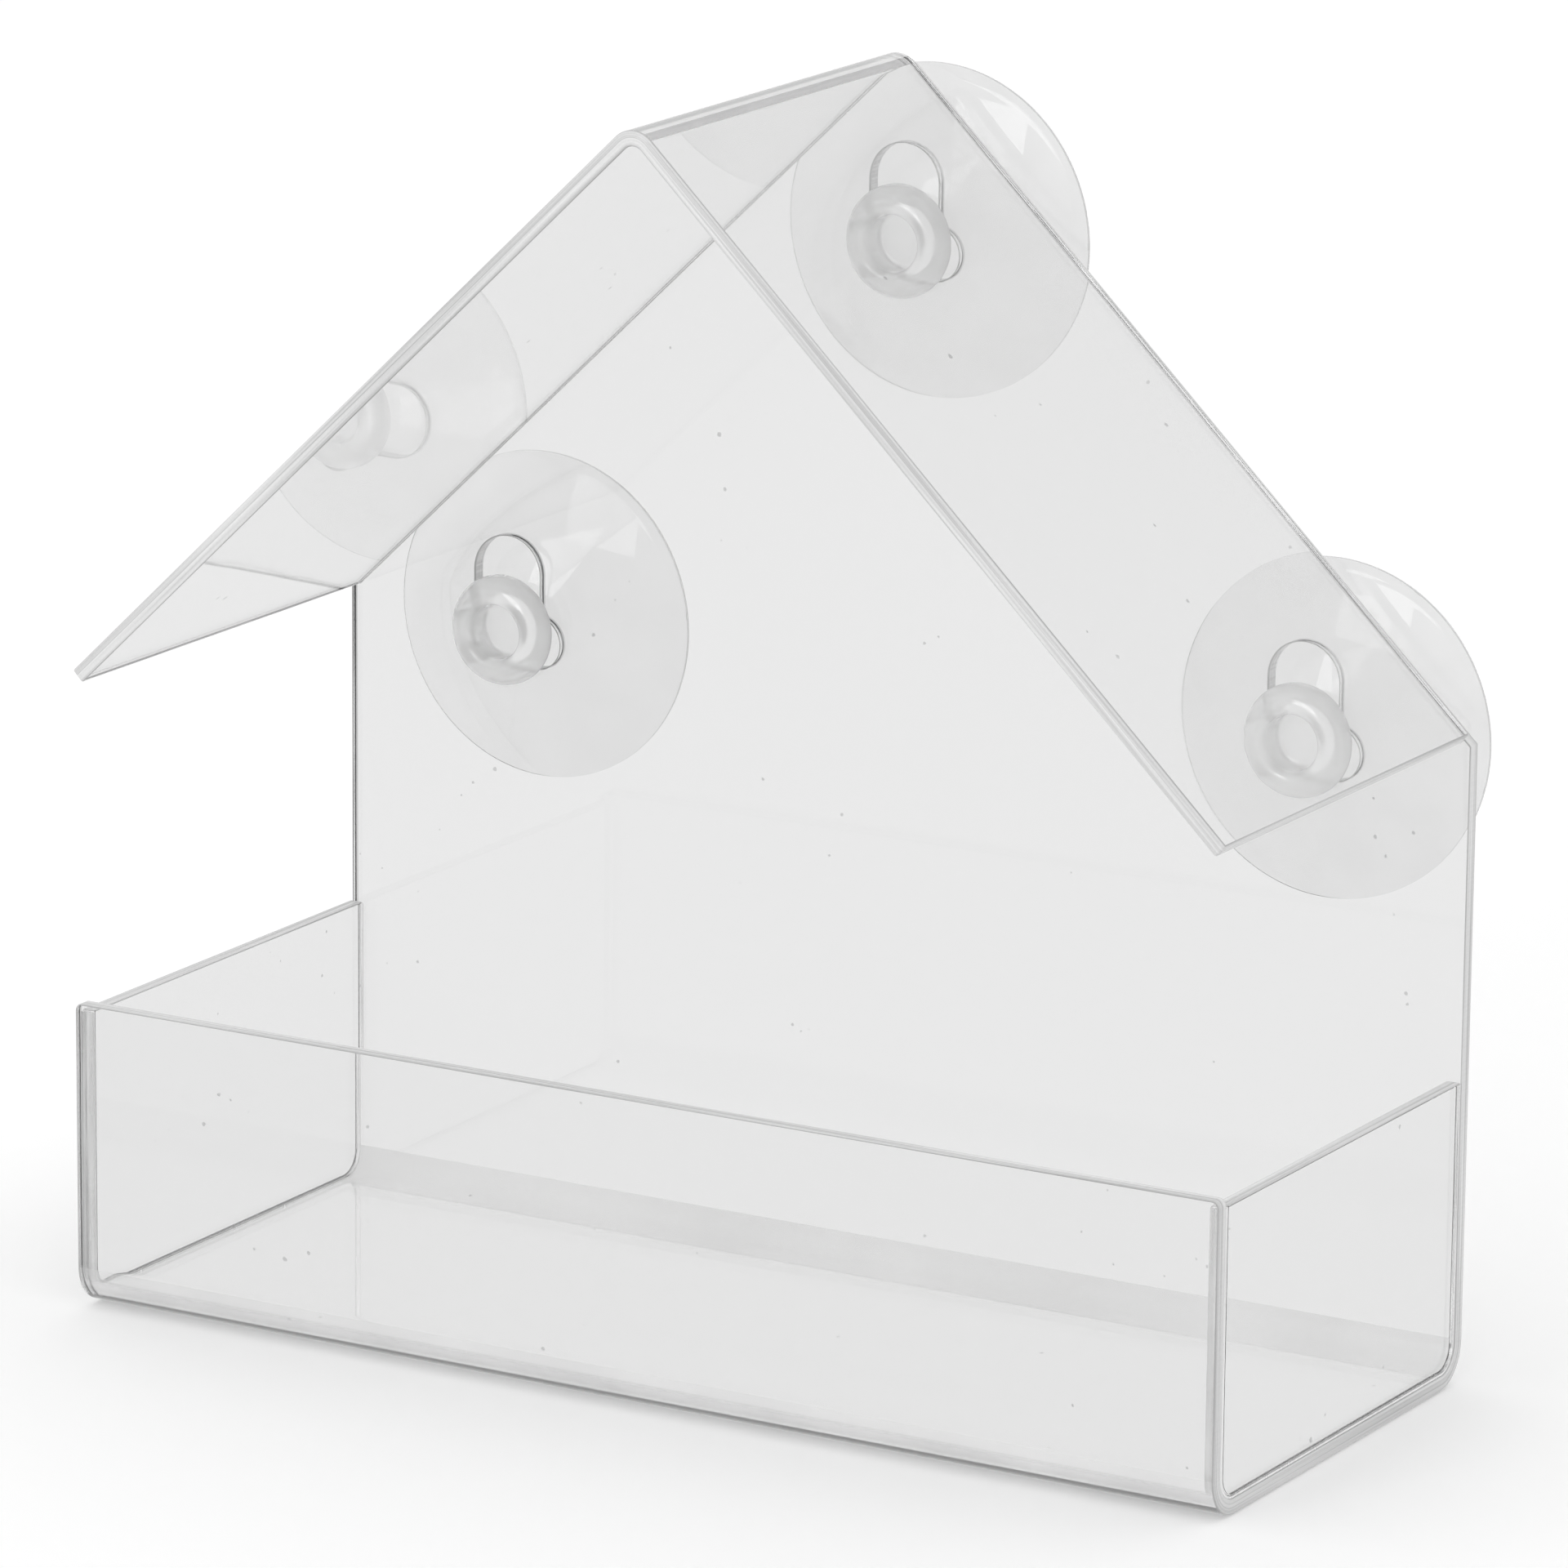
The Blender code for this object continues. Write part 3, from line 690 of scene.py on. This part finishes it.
class FEEDER_OT_body_sheet(bpy.types.Operator):
    """Model the bent sheet: front wall, floor and gabled back panel with its slots"""
    bl_idname = "feeder.body_sheet"
    bl_label = "Body sheet"

    def execute(self, context):
        sheet = context.scene.feeder_sheet
        radius = sheet.bend_radius + SHEET
        left = BODY_LOW.x
        top = WALL_HIGH.z + sheet.wall_drop
        corner_front = Vector((left, FRONT_FACE, BODY_LOW.z))
        corner_rear = Vector((left, REAR_FACE, BODY_LOW.z))
        peak = Vector((left, REAR_FACE, ROOF_HIGH.z))
        points = [Vector((left, FRONT_FACE, top)), corner_front, corner_rear, peak]
        sweep = ACROSS * (BODY_HIGH.x - left)
        bm = bent_sheet(points, [(corner_front, radius), (corner_rear, radius)], sweep, sheet.bend_steps)
        centre = ROOF_HIGH.z - SHEET - sheet.ridge_radius
        gable = SHEET + sheet.ridge_radius - sheet.gable_setback
        for side in (-1, 1):
            normal = Vector((side * sin(sheet.roof_slope), 0, cos(sheet.roof_slope)))
            cut_above(bm, UP * centre + normal * gable, normal)
        bmesh.ops.dissolve_limit(bm, angle_limit=FLAT_ANGLE, verts=bm.verts, edges=bm.edges)
        highest = max(bm.verts, key=lambda v: v.co.z)
        round_corners(bm, [highest], gable * tan(sheet.roof_slope), sheet.bend_steps)
        corners = [v for v in bm.verts if v.co.y < FRONT_FACE + NEAR and v.co.z > top - NEAR]
        round_corners(bm, corners, sheet.corner_radius, CORNER_STEPS)
        bm.faces.ensure_lookup_table()
        front = max(bm.faces, key=lambda f: abs(f.normal.y) * (f.calc_center_median().y < 0))
        if front.normal.y > 0:
            bmesh.ops.reverse_faces(bm, faces=bm.faces)
        piece = as_object("acrylic_body", bm, *sheet_finishes(sheet))
        thicken(piece, SHEET)
        cutters = []
        for node in CUPS:
            cutter = slot_cutter(node + "_slot_cutter", cup_axis(node), context.scene.feeder_cup, sheet)
            cut = piece.modifiers.new(node, "BOOLEAN")
            cut.operation = "DIFFERENCE"
            cut.solver = "EXACT"
            cut.material_mode = "INDEX"
            cut.object = cutter
            cutters.append(cutter)
        piece.data.shade_smooth()
        polish(piece, sheet.edge_round)
        freeze(piece)
        for cutter in cutters:
            bpy.data.objects.remove(cutter)

        def past_bends(place):
            return Vector((max(abs(place.y) - REAR_FACE + radius, 0), max(BODY_LOW.z + radius - place.z, 0)))

        mark_sheet(piece, lambda place: (radius - past_bends(place).length) / SHEET,
                   lambda place: min(past_bends(place)) > 0)
        fit(piece, "house", "body_sheet")
        return {"FINISHED"}


class FEEDER_OT_side_walls(bpy.types.Operator):
    """Model the two flat side walls that stand on the floor"""
    bl_idname = "feeder.side_walls"
    bl_label = "Side walls"

    def execute(self, context):
        sheet = context.scene.feeder_sheet
        for node in ("left_side_wall", "right_side_wall"):
            low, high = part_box(node)
            radius = sheet.bend_radius - CEMENT_GAP
            bm = bmesh.new()
            first = bm.verts.new((low.x, low.y, high.z))
            last = line_to(bm, first, (low.x, low.y, low.z + radius))
            centre = (low.x, low.y + radius, low.z + radius)
            last = arc_about(bm, last, centre, ACROSS, pi / 2, sheet.bend_steps)
            last = line_to(bm, last, (low.x, high.y - radius, low.z))
            centre = (low.x, high.y - radius, low.z + radius)
            last = arc_about(bm, last, centre, ACROSS, pi / 2, sheet.bend_steps)
            last = line_to(bm, last, (low.x, high.y, high.z))
            face = close_outline(bm, last, first)
            extrude_along(bm, [face], ACROSS * SHEET)
            bmesh.ops.recalc_face_normals(bm, faces=bm.faces)
            for face in bm.faces:
                if abs(face.normal.x) < STEEP:
                    face.material_index = EDGE_FINISH if face.normal.z > STEEP else CEMENTED_FINISH
            piece = as_object("acrylic_" + node, bm, *sheet_finishes(sheet)[:CEMENTED_FINISH],
                              cement_line(sheet.cement_colour))
            piece.data.shade_smooth()
            polish(piece, sheet.edge_round, -1)
            freeze(piece)
            mark_sheet(piece, lambda place: (WALL_HIGH.x - abs(place.x)) / SHEET, lambda place: False)
            fit(piece, "house", node)
        return {"FINISHED"}


class FEEDER_OT_roof(bpy.types.Operator):
    """Model the roof, one sheet bent at the ridge"""
    bl_idname = "feeder.roof"
    bl_label = "Roof"

    def execute(self, context):
        sheet = context.scene.feeder_sheet
        slope = sheet.roof_slope
        outer = sheet.ridge_radius + SHEET
        piece = gabled_sheet("acrylic_roof", sheet, outer, ROOF_LOW.y, ROOF_HIGH.y,
                             *sheet_finishes(sheet, "hazed in a sharp bend", 0.5)[:SLOT_FINISH])
        thicken(piece, SHEET)
        piece.data.shade_smooth()
        polish(piece, sheet.edge_round)
        freeze(piece)

        def from_bend(place):
            height = place.z - ROOF_HIGH.z + outer
            return Vector((abs(place.x) * cos(slope) - height * sin(slope),
                           abs(place.x) * sin(slope) + height * cos(slope)))

        def depth(place):
            along, above = from_bend(place)
            return (outer - (above if along > 0 else hypot(along, above))) / SHEET

        mark_sheet(piece, depth, lambda place: abs(place.x) < HAZED_RIDGE * outer)
        fit(piece, "house", "roof")
        return {"FINISHED"}


class FEEDER_OT_cement_lines(bpy.types.Operator):
    """Model the thin cement lines that join the side walls and the roof to the bent sheet"""
    bl_idname = "feeder.cement_lines"
    bl_label = "Cement lines"

    def execute(self, context):
        sheet = context.scene.feeder_sheet
        cement = cement_line(sheet.cement_colour)
        thickness = CEMENT_GAP - 2 * SEAM_PLAY
        radius = sheet.bend_radius - SEAM_PLAY
        front = FRONT_FACE + SHEET + SEAM_PLAY
        rear = PANEL_FRONT - SEAM_PLAY
        floor = WALL_LOW.z - CEMENT_GAP + SEAM_PLAY
        for node in ("left_side_wall", "right_side_wall"):
            low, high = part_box(node)
            side, top = low.x + sheet.edge_round / 2, high.z - sheet.edge_round
            corners = [Vector((side, front, floor)), Vector((side, rear, floor))]
            points = [Vector((side, front, top)), *corners, Vector((side, rear, top))]
            bm = bent_sheet(points, [(corner, radius) for corner in corners],
                            ACROSS * (SHEET - sheet.edge_round), sheet.bend_steps)
            bmesh.ops.recalc_face_normals(bm, faces=bm.faces)
            if max(bm.faces, key=lambda f: f.calc_area()).normal.z > 0:
                bmesh.ops.reverse_faces(bm, faces=bm.faces)
            piece = as_object("cement_line_" + node, bm, cement)
            thicken(piece, thickness)
            self.join(piece)
        gable = SHEET - sheet.gable_setback
        piece = gabled_sheet("cement_line_roof", sheet, sheet.ridge_radius + gable, ROOF_HIGH.y + SEAM_PLAY,
                             PANEL_FRONT - SEAM_PLAY, cement)
        thicken(piece, gable)
        self.join(piece)
        return {"FINISHED"}

    def join(self, piece):
        """Finish a cement line and let it ride with the sheets."""
        freeze(piece)
        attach(piece, "house")


class FEEDER_OT_suction_cups(bpy.types.Operator):
    """Model the three suction cups, each one turned moulding"""
    bl_idname = "feeder.suction_cups"
    bl_label = "Suction cups"

    def execute(self, context):
        cup = context.scene.feeder_cup
        disc = soft_vinyl("soft clear vinyl, moulded thin", cup.colour, ior=1.18, clearness=0.92,
                          smooth=0.015, matt=0.03, gloss=1.5, gloss_roughness=0.015)
        thick = soft_vinyl("soft clear vinyl, moulded thick and hazy", cup.head_colour, ior=1.15,
                           clearness=0.55, smooth=0.1, matt=0.2, gloss=1.8, gloss_roughness=0.08)
        # Thick vinyl also scatters light over about 3 mm within it
        inputs = thick.node_tree.nodes["Principled BSDF"].inputs
        inputs["Subsurface Weight"].default_value = 1.0
        inputs["Subsurface Radius"].default_value = (1.0, 1.0, 1.0)
        inputs["Subsurface Scale"].default_value = 0.003
        # The rim's grey tint is painted shade, for the fine dark outline that the clear vinyl rim shows
        rim_outline_shaded = soft_vinyl("soft clear vinyl, trimmed rim", linear(RIM_OUTLINE_SHADE), ior=VINYL_IOR,
                             clearness=0.75, smooth=0.05, matt=0.15, gloss=1.5, gloss_roughness=0.1)
        for node, body in CUPS.items():
            low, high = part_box(node)
            radius = (high.x - low.x) / 2
            bm = cup_outline(cup, radius, low.y - REAR_FACE, high.y - REAR_FACE)
            bmesh.ops.spin(bm, geom=list(bm.verts) + list(bm.edges), cent=(0, 0, 0), axis=BACK, angle=2 * pi,
                           steps=cup.sides, use_merge=True)
            bmesh.ops.remove_doubles(bm, verts=bm.verts, dist=MERGE)
            bmesh.ops.recalc_face_normals(bm, faces=bm.faces)
            for face in bm.faces:
                middle = face.calc_center_median()
                if middle.y < CEMENT_GAP:
                    face.material_index = HEAD_FINISH
                elif hypot(middle.x, middle.z) > radius - RIM_BAND:
                    face.material_index = RIM_FINISH
            bmesh.ops.translate(bm, verts=bm.verts, vec=cup_axis(node))
            piece = as_object("vinyl_" + body, bm, disc, thick, rim_outline_shaded)
            piece.data.shade_smooth()
            polish(piece, VINYL_ROUND, -1)
            freeze(piece)
            fit(piece, body, node)
        return {"FINISHED"}


class FEEDER_OT_stage(bpy.types.Operator):
    """Set up the pale floor, the soft studio light and the camera"""
    bl_idname = "feeder.stage"
    bl_label = "Stage"

    def execute(self, context):
        scene = context.scene
        stage = scene.feeder_stage
        bm = bmesh.new()
        bmesh.ops.create_grid(bm, x_segments=1, y_segments=1, size=FLOOR_HALF)
        bmesh.ops.translate(bm, verts=bm.verts, vec=-UP * FLOOR_DROP)
        floor = as_object("studio_floor", bm)
        floor.data.materials.append(studio_paper(stage.paper))
        scene.world = studio_room(stage.sky)

        lamp = bpy.data.lights.new("key softbox", "AREA")
        lamp.shape = "RECTANGLE"
        lamp.size, lamp.size_y = SOFTBOX_WIDTH, SOFTBOX_HEIGHT
        lamp.energy = stage.lamp_power
        key = bpy.data.objects.new("key softbox", lamp)
        scene.collection.objects.link(key)
        toward = SOFTBOX_WAY.normalized()
        key.location = SOFTBOX_AIM + toward * SOFTBOX_DISTANCE
        key.rotation_euler = toward.to_track_quat("Z", "Y").to_euler()

        right = Vector((cos(CAMERA_AZIMUTH), sin(CAMERA_AZIMUTH), 0))
        ahead = Vector((-sin(CAMERA_AZIMUTH), cos(CAMERA_AZIMUTH), 0))
        view = ahead * cos(CAMERA_ELEVATION) - UP * sin(CAMERA_ELEVATION)
        up = right.cross(view)
        camera = bpy.data.cameras.new("camera")
        camera.lens = CAMERA_LENS
        camera.sensor_width = CAMERA_SENSOR
        camera.clip_end = CAMERA_REACH
        eye = bpy.data.objects.new("camera", camera)
        across = right * cos(CAMERA_ROLL) + up * sin(CAMERA_ROLL)
        above = up * cos(CAMERA_ROLL) - right * sin(CAMERA_ROLL)
        eye.matrix_world = Matrix((across, above, -view)).transposed().to_4x4()
        eye.location = CAMERA_TARGET - view * CAMERA_DISTANCE
        scene.collection.objects.link(eye)
        scene.camera = eye
        scene.view_settings.view_transform = "Standard"
        return {"FINISHED"}


class FEEDER_PT_panel(bpy.types.Panel):
    """The feeder's pieces in the 3D view's sidebar"""
    bl_idname = "FEEDER_PT_panel"
    bl_label = "Window bird feeder"
    bl_space_type = "VIEW_3D"
    bl_region_type = "UI"
    bl_category = "Bird feeder"

    def draw(self, context):
        for operator in STEPS:
            self.layout.operator(operator.bl_idname)


SETTINGS = {"feeder_sheet": FeederSheet, "feeder_cup": FeederCup, "feeder_stage": FeederStage}
STEPS = (FEEDER_OT_body_sheet, FEEDER_OT_side_walls, FEEDER_OT_roof, FEEDER_OT_cement_lines,
         FEEDER_OT_suction_cups, FEEDER_OT_stage)


def register():
    for made in (*SETTINGS.values(), *STEPS, FEEDER_PT_panel):
        bpy.utils.register_class(made)
    for name, group in SETTINGS.items():
        setattr(bpy.types.Scene, name, bpy.props.PointerProperty(type=group))


def unregister():
    for name in SETTINGS:
        delattr(bpy.types.Scene, name)
    for made in reversed((*SETTINGS.values(), *STEPS, FEEDER_PT_panel)):
        bpy.utils.unregister_class(made)


def main():
    register()
    bpy.ops.feeder.body_sheet()
    bpy.ops.feeder.side_walls()
    bpy.ops.feeder.roof()
    bpy.ops.feeder.cement_lines()
    bpy.ops.feeder.suction_cups()
    bpy.ops.feeder.stage()


if __name__ == "__main__":
    main()
